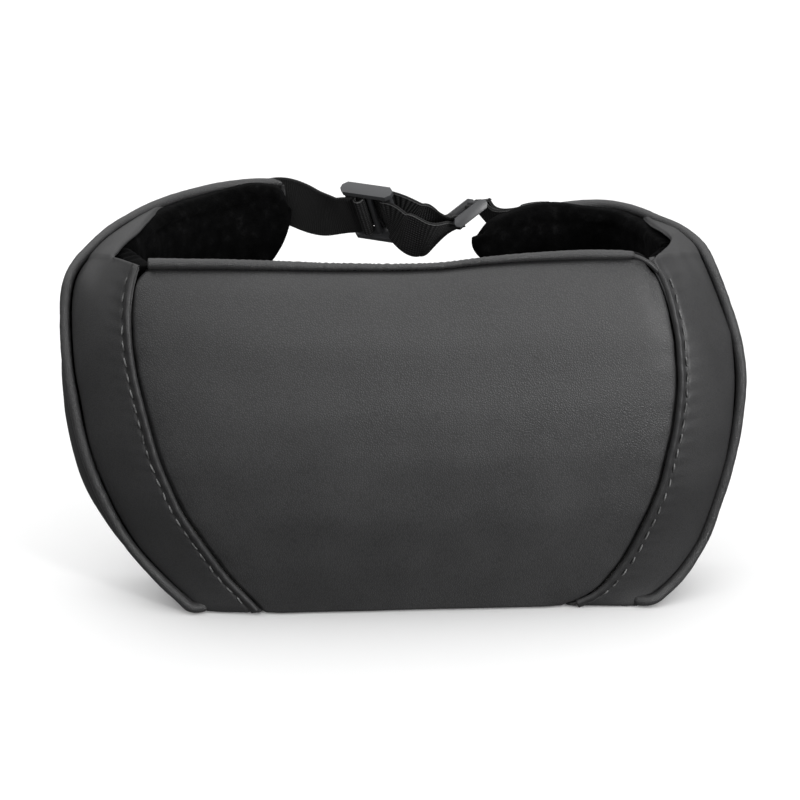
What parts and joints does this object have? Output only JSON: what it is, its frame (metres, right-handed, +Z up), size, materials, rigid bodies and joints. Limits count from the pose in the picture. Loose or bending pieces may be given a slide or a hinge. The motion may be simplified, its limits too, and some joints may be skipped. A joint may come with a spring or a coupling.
{
  "type": "chair headrest cushion",
  "caption": "Padded headrest cushion with piped side wings and an adjustable elastic strap that ties it round a chair back.",
  "frame": {"origin": "centre of the flat underside that the cushion stands on", "axes": "+Z up; the head side faces -Y and the chair side +Y; +X is along the cushion's width, to the right of someone looking at the head side"},
  "size_m": [0.3045, 0.1549, 0.1655],
  "materials": {
    "leather_panel": "fine grain, satin",
    "leather_side": "smooth, satin",
    "piping": "fine grain, satin",
    "velour": "short pile",
    "foam": "open cell foam",
    "thread": "twisted thread",
    "webbing": "woven elastic",
    "plastic": "satin moulded",
    "zip_metal": "black enamel"
  },
  "bodies": {
    "cushion": {"foam_core": "foam", "front_panel": "leather_panel", "left_side_band": "leather_side", "right_side_band": "leather_side", "left_gusset": "leather_side", "right_gusset": "leather_side", "back_lining": "velour", "base_panel": "leather_side", "left_edge_piping": "piping", "right_edge_piping": "piping", "top_piping": "piping", "left_seam_welt": "piping", "right_seam_welt": "piping", "seam_stitches": "thread", "zip_tape": "webbing", "zip_coils": "plastic", "zip_stops": "zip_metal"},
    "left_wing": {"left_wing_foam": "foam", "left_wing_cover": "leather_side", "left_wing_lining": "velour", "left_wing_piping": "piping"},
    "right_wing": {"right_wing_foam": "foam", "right_wing_cover": "leather_side", "right_wing_lining": "velour", "right_wing_piping": "piping", "strap_anchor": "webbing"},
    "strap": {"strap_webbing": "webbing", "strap_loop": "webbing"},
    "adjuster": {"adjuster": "plastic"},
    "ring": {"end_ring": "plastic"},
    "zip_slider": {"zip_slider": "zip_metal"},
    "zip_tab": {"zip_pull": "zip_metal"}
  },
  "joints": [
    {"name": "left_wing_flex", "type": "hinge", "parent": "cushion", "child": "left_wing", "pos_m": [-0.1478, 0.025, 0.1], "axis": [0, 0, 1], "range_deg": [-4, 12], "stiffness_Nm_per_rad": 1.5},
    {"name": "right_wing_flex", "type": "hinge", "parent": "cushion", "child": "right_wing", "pos_m": [0.1512, 0.025, 0.1], "axis": [0, 0, 1], "range_deg": [-12, 4], "stiffness_Nm_per_rad": 1.5},
    {"name": "strap_swing", "type": "hinge", "parent": "left_wing", "child": "strap", "pos_m": [-0.049, 0.1142, 0.15], "axis": [0, 0, 1], "range_deg": [-12, 4]},
    {"name": "adjuster_travel", "type": "slide", "parent": "strap", "child": "adjuster", "axis": [1, 0, 0], "range_m": [-0.014, 0.008]},
    {"name": "strap_stretch", "type": "slide", "parent": "strap", "child": "ring", "axis": [1, 0, 0], "range_m": [-0.0115, 0.0345], "deforming": ["strap_loop", "strap_webbing", "strap_anchor"]},
    {"name": "zip_travel", "type": "slide", "parent": "cushion", "child": "zip_slider", "axis": [1, 0, 0], "range_m": [0, 0.16]},
    {"name": "zip_pull_swing", "type": "hinge", "parent": "zip_slider", "child": "zip_tab", "pos_m": [-0.08055, 0.02985, 0.03], "axis": [0, 0, 1], "range_deg": [0, 150]}
  ],
  "couplings": [
    {"joint": "right_wing_flex", "follows": "left_wing_flex", "ratio": -1},
    {"joint": "strap_swing", "follows": "left_wing_flex", "ratio": -1},
    {"joint": "strap_stretch", "follows": "left_wing_flex", "m_per_rad": 0.16}
  ]
}
